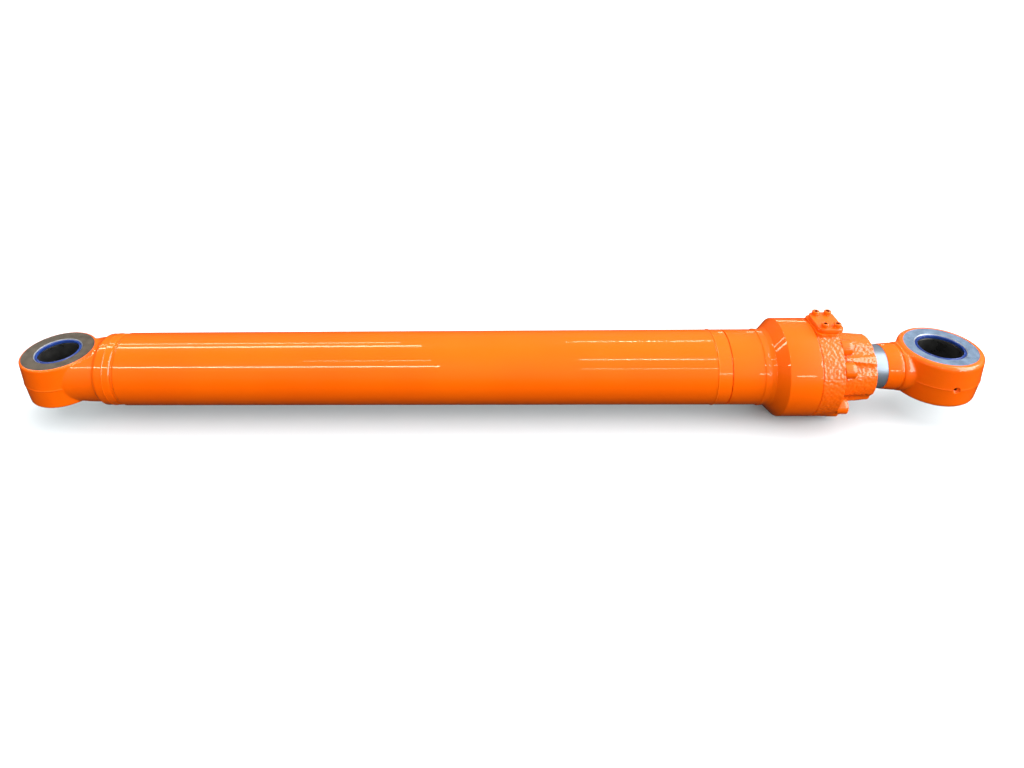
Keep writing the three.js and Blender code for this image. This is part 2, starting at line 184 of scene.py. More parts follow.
def revolve(name, profile, material=None, axis="X", centre=0, sides=MEDIUM, ripple=None):
    """A turned piece. Its profile starts and ends on the axis, or closes on itself.

    centre is the x of a vertical axis. ripple(angle, along, radius) adds to the radius.
    """
    closed = profile[0][1] > 0
    line = rounded(profile, closed)
    verts, rows = [], []
    for along, r in line:
        if r < 1e-6:
            rows.append([len(verts)])
            verts.append((along, 0, 0))
            continue
        rows.append(list(range(len(verts), len(verts) + sides)))
        for k in range(sides):
            angle = 2 * math.pi * k / sides
            at = r + (ripple(angle, along, r) if ripple else 0)
            verts.append((along, at * math.cos(angle), at * math.sin(angle)))
    faces = []
    for a, b in zip(rows, rows[1:] + (rows[:1] if closed else [])):
        for k in range(sides):
            n = (k + 1) % sides
            if len(a) == 1:
                faces.append((a[0], b[k], b[n]))
            elif len(b) == 1:
                faces.append((a[k], b[0], a[n]))
            else:
                faces.append((a[k], b[k], b[n], a[n]))
    if axis == "Z":
        verts = [(y + centre, z, x) for x, y, z in verts]
    return new_piece(name, verts, faces, material)


def prism(name, outline, z0, z1, material=None):
    """An outline in X and Y raised along Z."""
    count = len(outline)
    verts = [(x, y, z0) for x, y in outline] + [(x, y, z1) for x, y in outline]
    sides = [(k, (k + 1) % count, count + (k + 1) % count, count + k) for k in range(count)]
    return new_piece(name, verts, [tuple(range(count)), tuple(range(count, 2 * count))] + sides, material)


def rounded_rectangle(width, length, radius, steps=6):
    outline = []
    for quarter, (sx, sy) in enumerate([(1, 1), (-1, 1), (-1, -1), (1, -1)]):
        cx, cy = sx * (width / 2 - radius), sy * (length / 2 - radius)
        for k in range(steps + 1):
            angle = math.pi / 2 * (quarter + k / steps)
            outline.append((cx + radius * math.cos(angle), cy + radius * math.sin(angle)))
    return outline


def polygon(r, sides, turn=0):
    return [(r * math.cos(turn + 2 * math.pi * k / sides), r * math.sin(turn + 2 * math.pi * k / sides))
            for k in range(sides)]


def moved(piece, matrix):
    """The piece with its mesh moved by a matrix whose lengths are in mm."""
    in_metres = Matrix(matrix)
    in_metres.translation = matrix.translation * MM
    piece.data.transform(in_metres)
    return piece


def settle(piece):
    """Applies the piece's modifiers."""
    graph = bpy.context.evaluated_depsgraph_get()
    mesh = bpy.data.meshes.new_from_object(piece.evaluated_get(graph))
    piece.modifiers.clear()
    old = piece.data
    piece.data = mesh
    bpy.data.meshes.remove(old)
    mesh.name = piece.name
    return piece


def combine(piece, tools, operation="DIFFERENCE"):
    """Cuts or joins the tools, which are used up. Faces that a tool makes keep its material."""
    for tool in tools:
        change = piece.modifiers.new("boolean", "BOOLEAN")
        change.operation = operation
        change.object = tool
        change.solver = "EXACT"
        change.material_mode = "TRANSFER"
        settle(piece)
        bpy.data.objects.remove(tool)
    return piece


def soften(piece, voxel, rounds):
    """Turns a joined solid into one smooth skin, as a forging or casting has."""
    skin = piece.modifiers.new("skin", "REMESH")
    skin.mode = "VOXEL"
    skin.voxel_size = voxel * MM
    ease = piece.modifiers.new("ease", "SMOOTH")
    ease.factor = 0.5
    ease.iterations = rounds
    return settle(piece)


def roughen(piece, amount, size, most):
    """Lumps of a cast skin, in mm. Skin inside the radius most about the X axis stays inside it."""
    mesh = piece.data
    normals = [v.normal.copy() for v in mesh.vertices]
    for vertex, normal in zip(mesh.vertices, normals):
        place = vertex.co / MM
        lump = noise.noise(place / size) + 0.5 * noise.noise(place * 2.3 / size) - 0.6
        lumpy = place + normal * lump * amount
        r = math.hypot(lumpy.y, lumpy.z)
        if r > most >= math.hypot(place.y, place.z) - 0.1:
            lumpy.yz = lumpy.yz * (most / r)
        vertex.co = lumpy * MM
    return piece


def shade(piece, angle=32):
    piece.data.shade_smooth()
    piece.data.set_sharp_from_angle(angle=math.radians(angle))
    return piece


def bevelled(piece, width, segments=3, angle=40):
    edge = piece.modifiers.new("bevel", "BEVEL")
    edge.width = width * MM
    edge.segments = segments
    edge.limit_method = "ANGLE"
    edge.angle_limit = math.radians(angle)
    return settle(piece)


def place(piece, body, slot=None, nodes=(), angle=32):
    """Shades a finished piece, puts it on its body and hides what it stands for."""
    shade(piece, angle)
    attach(piece, body)
    if nodes:
        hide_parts(*nodes)
    return piece


# ---- materials ------------------------------------------------------------------------------


class Look:
    """A node material round one Principled shader."""

    def __init__(self, name, **values):
        self.material = bpy.data.materials.new(name)
        self.material.use_nodes = True
        self.tree = self.material.node_tree
        self.shader = next(n for n in self.tree.nodes if n.type == "BSDF_PRINCIPLED")
        for socket, value in values.items():
            self.shader.inputs[socket.replace("_", " ")].default_value = value
        self.place = self.add("ShaderNodeTexCoord").outputs["Object"]

    def add(self, kind, inputs=(), **settings):
        node = self.tree.nodes.new(kind)
        for key, value in settings.items():
            setattr(node, key, value)
        for socket, value in dict(inputs).items():
            if isinstance(value, bpy.types.NodeSocket):
                self.tree.links.new(value, node.inputs[socket])
            else:
                node.inputs[socket].default_value = value
        return node

    def noise(self, scale, detail=3, stretch=None, roughness=0.5):
        vector = self.place
        if stretch:
            vector = self.add("ShaderNodeMapping", {"Vector": vector, "Scale": stretch}).outputs[0]
        inputs = {"Vector": vector, "Scale": scale, "Detail": detail, "Roughness": roughness}
        return self.add("ShaderNodeTexNoise", inputs).outputs["Fac"]

    def spread(self, value, low, high, start=0.3, end=0.7):
        """value from start..end to low..high."""
        inputs = {"Value": value, "From Min": start, "From Max": end, "To Min": low, "To Max": high}
        return self.add("ShaderNodeMapRange", inputs).outputs[0]

    def math(self, operation, a, b=0.0):
        return self.add("ShaderNodeMath", {0: a, 1: b}, operation=operation).outputs[0]

    def mix(self, amount, a, b):
        node = self.add("ShaderNodeMix", {"Factor": amount}, data_type="RGBA")
        for socket, value in ((node.inputs[6], a), (node.inputs[7], b)):
            if isinstance(value, bpy.types.NodeSocket):
                self.tree.links.new(value, socket)
            else:
                socket.default_value = (*value, 1)
        return node.outputs[2]

    def set(self, socket, value):
        self.tree.links.new(value, self.shader.inputs[socket])

    def bump(self, height, distance, strength=1.0):
        """Adds relief; distance is in mm."""
        inputs = {"Height": height, "Distance": distance * MM, "Strength": strength}
        node = self.add("ShaderNodeBump", inputs)
        normal = self.shader.inputs["Normal"]
        if normal.is_linked:
            self.tree.links.new(normal.links[0].from_socket, node.inputs["Normal"])
        self.set("Normal", node.outputs[0])

    def distance_from_pin(self, x):
        """Distance from a pin's axis, in metres."""
        shift = (-x * MM, 0, 0)
        local = self.add("ShaderNodeMapping",
                         {"Vector": self.place, "Location": shift, "Scale": (1, 1, 0)})
        length = self.add("ShaderNodeVectorMath", {0: local.outputs[0]}, operation="LENGTH")
        return length.outputs["Value"]


TOOL_PITCH = 1.1  # of the rings that facing leaves on an eye
ORANGE = (0.99, 0.134, 0.0)
ORANGE_DEEP = (0.96, 0.120, 0.0)


def gloss_paint():
    look = Look("gloss_paint", Specular_IOR_Level=0.1, Coat_Weight=0.9, Coat_Roughness=0.022,
                Coat_IOR=1.5)
    tone = look.spread(look.noise(5, 2), 0.0, 1.0)
    look.set("Base Color", look.mix(tone, ORANGE, ORANGE_DEEP))
    haze = look.spread(look.noise(14, 5, roughness=0.6), 0.30, 0.38)
    look.set("Roughness", haze)
    look.bump(look.noise(260, 2), 0.02)
    return look.material


def cast_paint():
    look = Look("cast_paint", Specular_IOR_Level=0.2, Coat_Weight=0.75, Coat_Roughness=0.12,
                Coat_IOR=1.5)
    tone = look.spread(look.noise(22, 4), 0.0, 1.0)
    look.set("Base Color", look.mix(tone, ORANGE, ORANGE_DEEP))
    look.set("Roughness", look.spread(look.noise(90, 3), 0.36, 0.50))
    look.bump(look.noise(190, 5, roughness=0.62), 0.35, 0.8)
    look.bump(look.noise(700, 2), 0.06, 0.6)
    return look.material


def forged_paint():
    look = Look("forged_paint", Specular_IOR_Level=0.15, Coat_Weight=0.85, Coat_Roughness=0.07,
                Coat_IOR=1.5)
    tone = look.spread(look.noise(16, 3), 0.0, 1.0)
    look.set("Base Color", look.mix(tone, ORANGE, ORANGE_DEEP))
    look.set("Roughness", look.spread(look.noise(60, 3), 0.34, 0.44))
    look.bump(look.noise(60, 4), 0.35, 0.5)
    look.bump(look.noise(420, 2), 0.03, 0.6)
    return look.material


# Painted shade: a dark red-brown that stands in for the shade deep inside hex sockets and small holes.
def painted_recess_shade():
    look = Look("painted_recess_shade", Roughness=0.55)
    look.set("Base Color", look.mix(look.noise(400, 2), (0.10, 0.012, 0.001), (0.20, 0.03, 0.002)))
    return look.material


def machined_face(name, x, light, dark):
    """A faced eye: tool rings about the pin, with scuffs and a thin film of oil."""
    look = Look(name, Metallic=0.25, Specular_IOR_Level=0.3)
    turns = look.math("MULTIPLY", look.distance_from_pin(x), 2 * math.pi / (TOOL_PITCH * MM))
    ring = look.math("SINE", turns)
    grain = look.noise(900, 4, roughness=0.7)
    blotch = look.noise(60, 5, roughness=0.65)
    shade_of = look.math("ADD", look.math("MULTIPLY", grain, 0.6), look.math("MULTIPLY", blotch, 0.5))
    tone = look.spread(shade_of, 0.0, 1.0, 0.38, 0.72)
    look.set("Base Color", look.mix(tone, dark, light))
    look.set("Roughness", look.spread(blotch, 0.42, 0.62))
    look.bump(ring, 0.012, 0.7)
    look.bump(grain, 0.05, 0.6)
    return look.material


def chrome():
    look = Look("chrome", Metallic=0.5, Roughness=0.3)
    tone = look.spread(look.noise(30, 3), 0.0, 1.0)
    # Painted reflection: the chrome is half diffuse, so its blue-grey base shows a steady sheen in place
    # of the room it would mirror; the metallic half is its own mirror.
    look.set("Base Color", look.mix(tone, (0.22, 0.27, 0.33), (0.175, 0.22, 0.27)))
    ground = look.noise(60, 4, stretch=(60, 1, 1))
    look.set("Roughness", look.spread(ground, 0.32, 0.42))
    look.bump(ground, 0.002, 0.5)
    return look.material


def turned_steel():
    look = Look("turned_steel", Metallic=1.0, Roughness=0.35)
    lines = look.noise(60, 3, stretch=(40, 1, 1))
    look.set("Base Color", look.mix(lines, (0.42, 0.42, 0.43), (0.30, 0.30, 0.31)))
    look.set("Roughness", look.spread(lines, 0.3, 0.45))
    look.bump(lines, 0.01, 0.6)
    return look.material


def dark_bush():
    look = Look("dark_bush", Metallic=0.5, Roughness=0.32)
    blotch = look.noise(45, 4)
    tone = look.spread(blotch, 0, 1)
    look.set("Base Color", look.mix(tone, (0.026, 0.026, 0.025), (0.060, 0.060, 0.058)))
    look.set("Roughness", look.spread(blotch, 0.24, 0.42))
    look.bump(look.noise(60, 3, stretch=(1, 1, 30)), 0.01, 0.5)
    return look.material


def urethane():
    look = Look("urethane", Roughness=0.36, Coat_Weight=0.5, Coat_Roughness=0.15)
    tone = look.spread(look.noise(50, 3), 0, 1)
    look.set("Base Color", look.mix(tone, (0.010, 0.038, 0.22), (0.014, 0.060, 0.32)))
    look.set("Roughness", look.spread(look.noise(120, 3), 0.3, 0.45))
    look.bump(look.noise(500, 2), 0.02, 0.5)
    return look.material


def plain(name, light, dark, low, high, metallic=0.0):
    """A fine-grained material. low and high are the ends of its roughness."""
    look = Look(name, Metallic=metallic)
    grain = look.noise(150, 4)
    look.set("Base Color", look.mix(look.spread(grain, 0, 1), light, dark))
    look.set("Roughness", look.spread(grain, low, high))
    look.bump(grain, 0.02, 0.5)
    return look.material


LOOKS = {
    "gloss": gloss_paint(),
    "cast": cast_paint(),
    "forged": forged_paint(),
    "socket": painted_recess_shade(),
    "cap_face": machined_face("cap_eye_face", 0, (0.145, 0.122, 0.097), (0.050, 0.042, 0.033)),
    "rod_face": machined_face("rod_eye_face", PIN_TO_PIN, (0.215, 0.305, 0.43), (0.080, 0.122, 0.19)),
    # Painted highlight: the bore's chamfered mouth is a light grey diffuse colour in place of the bright
    # reflections of polished steel.
    "mouth": plain("bore_mouth_painted_highlight", (0.42, 0.46, 0.52), (0.24, 0.27, 0.31), 0.3, 0.45, metallic=0.4),
    "chrome": chrome(),
    "steel": turned_steel(),
    "bush": dark_bush(),
    "urethane": urethane(),
    "rubber": plain("black_rubber", (0.018, 0.018, 0.018), (0.009, 0.009, 0.009), 0.5, 0.7),
    "nylon": plain("nylon", (0.30, 0.08, 0.05), (0.20, 0.05, 0.035), 0.4, 0.6),
    "bronze": plain("bronze", (0.62, 0.40, 0.17), (0.42, 0.26, 0.10), 0.3, 0.5, metallic=1.0),
}

# ---- eyes -----------------------------------------------------------------------------------


def eye_forging(name, eye, x):
    """The barrel-shaped blank of an eye, left a little tall for machining."""
    half = EYE_HALF + 0.6
    profile = [(-half, 0, 0), (-half, eye["side"], eye["edge"]), (PARTING_Z, eye["middle"], 5),
               (half, eye["side"], eye["edge"]), (half, 0, 0)]
    return revolve(name, profile, LOOKS["forged"], "Z", x, MEDIUM)


def parting_line(eye, x):
    """The low ridge where the two halves of the forging die met."""
    foot, ridge = eye["middle"] - 0.4, eye["middle"] + eye["ridge"]
    profile = [(PARTING_Z - 2.6, 0, 0), (PARTING_Z - 2.6, foot, 0.3), (PARTING_Z - 0.8, ridge, 0.4),
               (PARTING_Z + 0.8, ridge, 0.4), (PARTING_Z + 2.6, foot, 0.3), (PARTING_Z + 2.6, 0, 0)]
    return revolve("parting", profile, LOOKS["forged"], "Z", x, FINE)


def face_cutters(eye, x, bare_look):
    """Cutters for the machined rings of an eye's two faces."""
    cutters = []
    for side in (1, -1):
        profile = [(side * EYE_HALF, 0, 0), (side * EYE_HALF, eye["bare"], 0),
                   (side * (EYE_HALF + 2), eye["bare"] + 1.2, 0), (side * (EYE_HALF + 2), 0, 0)]
        cutters.append(revolve("bare", profile, bare_look, "Z", x, FINE))
    return cutters


def bore_cutter(x, look):
    """The eye's bore, with a chamfered mouth at each face."""
    r = BUSH_R + 0.1
    top = EYE_HALF + 1
    profile = [(-top, 0, 0), (-top, r + 2.8, 0), (1.6 - EYE_HALF, r, 0), (EYE_HALF - 1.6, r, 0),
               (top, r + 2.8, 0), (top, 0, 0)]
    return revolve("bore", profile, look, "Z", x, FINE)


def eye_bush(prefix, x, body):
    """Bush with eased ends."""
    profile = [(-BUSH_HALF, BUSH_R, 0.8), (BUSH_HALF, BUSH_R, 0.8),
               (BUSH_HALF, PIN_R, 1.2), (-BUSH_HALF, PIN_R, 1.2)]
    piece = revolve(prefix + "_eye_bush_turned", profile, LOOKS["bush"], "Z", x, MEDIUM)
    place(piece, body, "dark_bush", [prefix + "_eye_bush"])


def dust_seal(prefix, x, body, side):
    """Wiper for the pin: a stiff outer rim, a trough and a sprung lip."""
    base, top = BUSH_HALF + GAP, EYE_HALF - 1
    profile = [(base, BUSH_R - GAP, 0.4), (top - 0.4, BUSH_R - GAP, 0.6), (top - 0.4, 49.6, 0.5),
               (top - 1.8, 49.2, 0.5), (top - 1.8, 48.3, 0.5), (top + 0.5, 47.4, 0.6),
               (top + 0.7, PIN_R + 0.8, 0.5), (top - 2.2, PIN_R + 0.4, 0.5),
               (top - 4.5, PIN_R + 2.2, 0.8), (base, PIN_R + 2.2, 0.4)]
    profile = [(side * along, r, fillet) for along, r, fillet in profile]
    level = "upper" if side > 0 else "lower"
    node = prefix + "_eye_dust_seal_" + level
    piece = revolve(node + "_lip", profile, LOOKS["urethane"], "Z", x, FINE)
    place(piece, body, "blue_urethane", [node])


def eye_fittings(prefix, x, body):
    eye_bush(prefix, x, body)
    for side in (1, -1):
        dust_seal(prefix, x, body, side)


# ---- cap end --------------------------------------------------------------------------------


def spot_facers(x, reach, depth):
    """Cutters that face a stem round its eye, with a gentle cone outside."""
    floor_z = EYE_HALF - depth
    cutters = []
    for side in (1, -1):
        profile = [(side * floor_z, 0, 0), (side * floor_z, reach, 4),
                   (side * (floor_z + 28), reach + 40, 0), (side * (floor_z + 28), 0, 0)]
        cutters.append(revolve("spot", profile, LOOKS["forged"], "Z", x))
    return cutters


def cap_end():
    end = CAP_RING_START + 5
    stem = [(10, 0, 0), (10, CAP_STEM_R, 0), (end, CAP_STEM_R, 0), (end, 0, 0)]
    forging = revolve("cap_end_forging", stem, LOOKS["forged"])
    combine(forging, spot_facers(0, CAP_EYE["side"] + 3, 2.5))
    combine(forging, [eye_forging("eye", CAP_EYE, 0)], "UNION")
    soften(forging, 1.9, 6)
    combine(forging, [parting_line(CAP_EYE, 0)], "UNION")
    ring = revolve("ring", [
        (92, 0, 0), (92, CAP_STEM_R - 16, 0), (CAP_RING_START - 9, CAP_STEM_R - 1.5, 0),
        (CAP_RING_START - 1, CAP_STEM_R + 0.2, 2), (CAP_RING_START + 8, CAP_RING_R, 8),
        (137.2, CAP_RING_R, 0.3), (138.0, CAP_RING_R + 0.9, 0.4), (139.2, CAP_RING_R + 0.9, 0.4),
        (140, CAP_RING_R, 0.3),
        (153.5, CAP_RING_R, 2.5), (156.8, CAP_RING_R - 3.6, 0.8), (156.8, BORE_R - GAP, 0.4),
        (CAP_FACE, BORE_R - GAP, 2), (CAP_FACE, 0, 0)], LOOKS["gloss"], sides=FINE)
    combine(forging, [ring], "UNION")
    combine(forging, face_cutters(CAP_EYE, 0, LOOKS["cap_face"]))
    # The bore's chamfers take the painted highlight of the mouth look.
    combine(forging, [bore_cutter(0, LOOKS["mouth"])])
    place(forging, "barrel", "gloss_paint", ["cap_end"], 28)


def weld_ripple(pitch, foot, height):
    """Ripples of a weld bead that stands on radius foot, as a ripple for revolve()."""
    count = round(2 * math.pi * TUBE_R / pitch)

    def ripple(angle, along, r):
        wave = abs(math.sin(angle * count / 2 + along * 0.25)) - 0.6
        wander = noise.noise(Vector((math.cos(angle), math.sin(angle), along * 0.05)) * 6)
        return max(0, min(1, r - foot)) * height * (wave + wander)
    return ripple


def weld_bead(name, profile, ripple):
    piece = revolve(name, profile, LOOKS["gloss"], sides=BEAD_SIDES, ripple=ripple)
    place(piece, "barrel", "gloss_paint")


# ---- barrel ---------------------------------------------------------------------------------


def barrel_tube():
    chamfer = [(TUBE_START, TUBE_R - 5, 0.5), (TUBE_START + 3, TUBE_R - 4.4, 0.8),
               (TUBE_START + 8.5, TUBE_R, 2)]
    raised = [(RAISED_LINE - 2, TUBE_R, 0.3), (RAISED_LINE - 0.8, TUBE_R + 1.2, 0.5),
              (RAISED_LINE + 0.8, TUBE_R + 1.2, 0.5), (RAISED_LINE + 2, TUBE_R, 0.3)]
    groove = [(GROOVE_LINE - 1.3, TUBE_R, 0.2), (GROOVE_LINE - 1.1, TUBE_R - 3.5, 0.2),
              (GROOVE_LINE + 1.1, TUBE_R - 3.5, 0.2), (GROOVE_LINE + 1.3, TUBE_R, 0.2)]
    profile = [(TUBE_START, BORE_R, 0.5), *chamfer, *raised, *groove,
               (TUBE_END, TUBE_R, 0.5), (TUBE_END, BORE_R, 0.5)]
    tube = revolve("barrel_tube_skin", profile, LOOKS["gloss"], sides=FINE)
    tube.data.materials.append(LOOKS["steel"])
    for face in tube.data.polygons:
        middle = face.center / MM
        if math.hypot(middle.y, middle.z) < TUBE_R - 6:
            face.material_index = 1
    port = revolve("port", [(0, 0, 0), (0, PORT_R, 0), (TUBE_R + 5, PORT_R, 0), (TUBE_R + 5, 0, 0)],
                   LOOKS["steel"], "Z", 0, SMALL)
    moved(port, Matrix.Translation((CAP_PORT_X, 0, 0)) @ Matrix.Rotation(-math.pi / 2, 4, "X"))
    combine(tube, [port])
    place(tube, "barrel", "gloss_paint", ["barrel_tube"])

    low = TUBE_R - 5.4
    weld_bead("cap_weld_bead", [
        (156, low, 0.3), (156, low + 1.3, 0.5), (158.4, low + 2.3, 1.2), (161, low + 1.7, 1),
        (162.5, low, 0.3)], weld_ripple(9, low, 0.3))


def barrel_collar():
    cone_end = COLLAR_START + 26
    collar = revolve("barrel_collar_skin", [
        (COLLAR_START + 2, TUBE_R + 0.2, 0.2), (COLLAR_START + 2, TUBE_R + 2, 0.4),
        (cone_end, COLLAR_R, 1.6), (JOINT_X, COLLAR_R, 1.0),
        (JOINT_X, BORE_R, 0.4), (TUBE_END + GAP, BORE_R, 0.2),
        (TUBE_END + GAP, TUBE_R + 0.2, 0.2)], LOOKS["gloss"], sides=FINE)
    place(collar, "barrel", "gloss_paint", ["barrel_collar"])

    toe = COLLAR_START - 19
    weld_bead("collar_weld_bead", [
        (toe, TUBE_R - 1.5, 0.3), (toe, TUBE_R + 0.6, 0.4), (toe + 2.5, TUBE_R + 1.7, 1.5),
        (toe + 9, TUBE_R + 1.2, 6), (toe + 15, TUBE_R + 0.5, 4), (toe + 21, TUBE_R + 3.2, 3),
        (toe + 24, TUBE_R + 5.2, 0.5), (toe + 24, TUBE_R - 1.5, 0.3)],
        weld_ripple(11, TUBE_R, 0.08))


# ---- gland head -----------------------------------------------------------------------------

HEAD_BOLTS = ["head_bolt_%d" % i for i in range(1, 9)]


def bolt_centre(node):
    return sum(span(node, Y)) / 2, sum(span(node, Z)) / 2


def along_x(name, x0, x1, r, y, z, look=None, sides=SMALL):
    """A plain cylinder along X, for cutting."""
    profile = [(x0, 0, 0), (x0, r, 0), (x1, r, 0), (x1, 0, 0)]
    return moved(revolve(name, profile, look, sides=sides), Matrix.Translation((0, y, z)))


def head_blank(back):
    """The cast body: flange, ribbed nose and the block for the port pad, with its skin."""
    head = revolve("gland_head_casting", [
        (back, 0, 0), (back, COLLAR_R, 0),
        (FLANGE_FRONT + 1, COLLAR_R, 0), (FLANGE_FRONT + 1, NOSE_R[0], 0),
        (NOSE_FRONT + 2, NOSE_R[1], 0), (NOSE_FRONT + 2, 0, 0)], LOOKS["cast"], sides=MEDIUM)
    pockets = [along_x("pocket", FLANGE_FRONT + 1, NOSE_FRONT + 5, 24, *bolt_centre(node))
               for node in HEAD_BOLTS]
    combine(head, pockets)
    pad = prism("pad", rounded_rectangle(46, 84, 9), 84, PAD_TOP + 2)
    moved(pad, Matrix.Translation((FLANGE_FRONT - 23, 0, 0)))
    shelf = prism("shelf", rounded_rectangle(22, 66, 6), 99, PAD_TOP + 2)
    moved(shelf, Matrix.Translation((FLANGE_FRONT - 2, 0, 0)))
    web = prism("web", rounded_rectangle(22, 38, 5), 74, PAD_TOP + 2)
    moved(web, Matrix.Translation((FLANGE_FRONT - 2, 0, 0)))
    combine(head, [pad, shelf, web], "UNION")
    soften(head, 1.6, 4)
    return roughen(head, 0.8, 5, COLLAR_R)


def head_facers(back):
    """Cutters for the head's front, its joint face, its port pad and the seats of its screws."""
    far = 150
    front = along_x("front", NOSE_FRONT, NOSE_FRONT + 20, far, 0, 0, LOOKS["cast"], 64)
    rear = along_x("rear", back - 40, back, far, 0, 0, LOOKS["steel"], 64)
    top = prism("top", rounded_rectangle(120, 120, 2), PAD_TOP, PAD_TOP + 30, LOOKS["gloss"])
    moved(top, Matrix.Translation((PORT_X, 0, 0)))
    seats = [
        along_x("seat", FLANGE_FRONT, FLANGE_FRONT + 12, 19.6, *bolt_centre(node), LOOKS["cast"])
        for node in HEAD_BOLTS]
    return [front, rear, top, *seats]


def gland_head():
    back = JOINT_X + GAP
    head = head_blank(back)
    combine(head, head_facers(back))
    spigot_r = BORE_R - GAP
    spigot = revolve("spigot", [
        (SPIGOT_START, 0, 0), (SPIGOT_START, spigot_r, 2), (JOINT_X - 30, spigot_r, 0.4),
        (JOINT_X - 30, 67, 0.4), (JOINT_X - 20, 67, 0.4), (JOINT_X - 20, spigot_r, 0.4),
        (back + 3, spigot_r, 0), (back + 3, 0, 0)], LOOKS["steel"], sides=MEDIUM)
    combine(head, [spigot], "UNION")
    bore = revolve("bore", [
        (SPIGOT_START - 5, 0, 0), (SPIGOT_START - 5, 66, 0), (SPIGOT_START + 1, 60, 0),
        (JOINT_X + 45, 60, 3), (JOINT_X + 45, 51, 0),
        (JOINT_X + 121, 51, 0), (JOINT_X + 121, 58, 0.5),
        (NOSE_FRONT - 2, 58, 0), (NOSE_FRONT + 5, 64, 0), (NOSE_FRONT + 5, 0, 0)],
        LOOKS["steel"], sides=MEDIUM)
    port = prism("port", polygon(PORT_R, SMALL), 40, PAD_TOP + 10, LOOKS["steel"])
    moved(port, Matrix.Translation((PORT_X, 0, 0)))
    combine(head, [bore, port])
    place(head, "barrel", "cast_paint", ["gland_head"], 30)


def socket_screw(r, length, head_r, head, key, depth):
    """A pattern screw along Z, with its seat at z = 0 and a hexagon socket in its head."""
    look = LOOKS["forged"]
    profile = [(-length, 0, 0), (-length, r, 0.8), (0, r, 0.3), (0, head_r - 0.4, 0.3),
               (0.8, head_r, 0.4), (head - 1.2, head_r, 0.9), (head, head_r - 1.4, 0.5), (head, 0, 0)]
    screw = revolve("pattern", profile, look, "Z", 0, SMALL)
    corner = key / math.sqrt(3)
    # The socket's walls take the painted shade of the socket look.
    recess = prism("recess", polygon(corner, 6), head - depth, head + 1, LOOKS["socket"])
    mouth = revolve("mouth", [(head - 0.7, 0, 0), (head - 0.7, corner - 0.5, 0),
                              (head + 0.5, corner + 0.9, 0), (head + 0.5, 0, 0)], look, "Z", 0, SMALL)
    return combine(screw, [recess, mouth])


def screw_like(pattern, node, matrix):
    """A copy of the pattern screw, moved to its node's place."""
    screw = bpy.data.objects.new(node + "_screw", pattern.data.copy())
    bpy.context.scene.collection.objects.link(screw)
    moved(screw, matrix)
    place(screw, "barrel", "cast_paint", [node])


def head_bolts():
    pattern = socket_screw(r=HEAD_BOLT_R - 6, length=88, head_r=HEAD_BOLT_R,
                           head=HEAD_BOLT_HEAD, key=19, depth=12)
    to_x = Matrix.Rotation(math.pi / 2, 4, "Y")
    for i, node in enumerate(HEAD_BOLTS):
        turn = Matrix.Rotation(math.radians(17 + 23 * i), 4, "Z")
        seat = Matrix.Translation((FLANGE_FRONT + 0.1, *bolt_centre(node)))
        screw_like(pattern, node, seat @ to_x @ turn)
    bpy.data.objects.remove(pattern)


# ---- ports ----------------------------------------------------------------------------------

PORT_HOLES = [(sx * PORT_SPACING[0] / 2, sy * PORT_SPACING[1] / 2)
              for sx in (-1, 1) for sy in (-1, 1)]
PLATE_TOP = 10.3


def port_fittings(prefix, matrix):
    """Blanking plate, O-ring and screws. matrix takes the pad's own frame to the cylinder's."""
    outline = rounded_rectangle(54, 76, 13)
    cover = prism(prefix + "_port_cover_plate", outline, GAP, PLATE_TOP, LOOKS["cast"])
    bevelled(cover, 1.6)
    lands = []
    for x, y in PORT_HOLES:
        profile = [(5, 0, 0), (5, 10.4, 0), (PLATE_TOP + 0.7, 10.4, 0.4), (PLATE_TOP + 0.7, 0, 0)]
        land = revolve("land", profile, LOOKS["cast"], "Z", 0, SMALL)
        lands.append(moved(land, Matrix.Translation((x, y, 0))))
    combine(cover, lands, "UNION")
    moved(cover, matrix)
    place(cover, "barrel", "cast_paint", [prefix + "_port_cover"])

    cord = [(-2.6, 16.4, 1.2), (0, 16.4, 1.2), (0, 20.6, 1.2), (-2.6, 20.6, 1.2)]
    ring = revolve(prefix + "_port_o_ring_cord", cord, LOOKS["rubber"], "Z", 0, MEDIUM)
    moved(ring, matrix)
    place(ring, "barrel", "black_rubber", [prefix + "_port_o_ring"])

    pattern = socket_screw(r=5, length=20, head_r=8, head=10, key=8, depth=5)
    for number, (x, y) in enumerate(PORT_HOLES, 1):
        turn = Matrix.Rotation(math.radians(31 * number), 4, "Z")
        seat = matrix @ Matrix.Translation((x, y, PLATE_TOP))
        screw_like(pattern, "%s_port_bolt_%d" % (prefix, number), seat @ turn)
    bpy.data.objects.remove(pattern)


# The head's pad faces +Z. The cap's faces +Y, with its long side along X.
HEAD_PAD = Matrix.Translation((PORT_X, 0, PAD_TOP))
CAP_PAD = Matrix.Translation((CAP_PORT_X, CAP_PAD_TOP, 0)) @ Matrix(
    ((0, 1, 0, 0), (0, 0, 1, 0), (1, 0, 0, 0), (0, 0, 0, 1)))


def cap_port_boss():
    boss = prism("cap_port_boss_block", rounded_rectangle(54, 80, 13), -22, 0, LOOKS["forged"])
    bevelled(boss, 1.5)
    moved(boss, CAP_PAD)
    seat = [(100, 0, 0), (100, TUBE_R + 0.1, 0), (320, TUBE_R + 0.1, 0), (320, 0, 0)]
    seat = revolve("seat", seat, LOOKS["forged"], sides=FINE)
    hole = moved(prism("hole", polygon(PORT_R, SMALL), -60, 10, LOOKS["steel"]), CAP_PAD)
    combine(boss, [seat, hole])
    place(boss, "barrel", "gloss_paint", ["cap_port_boss"])


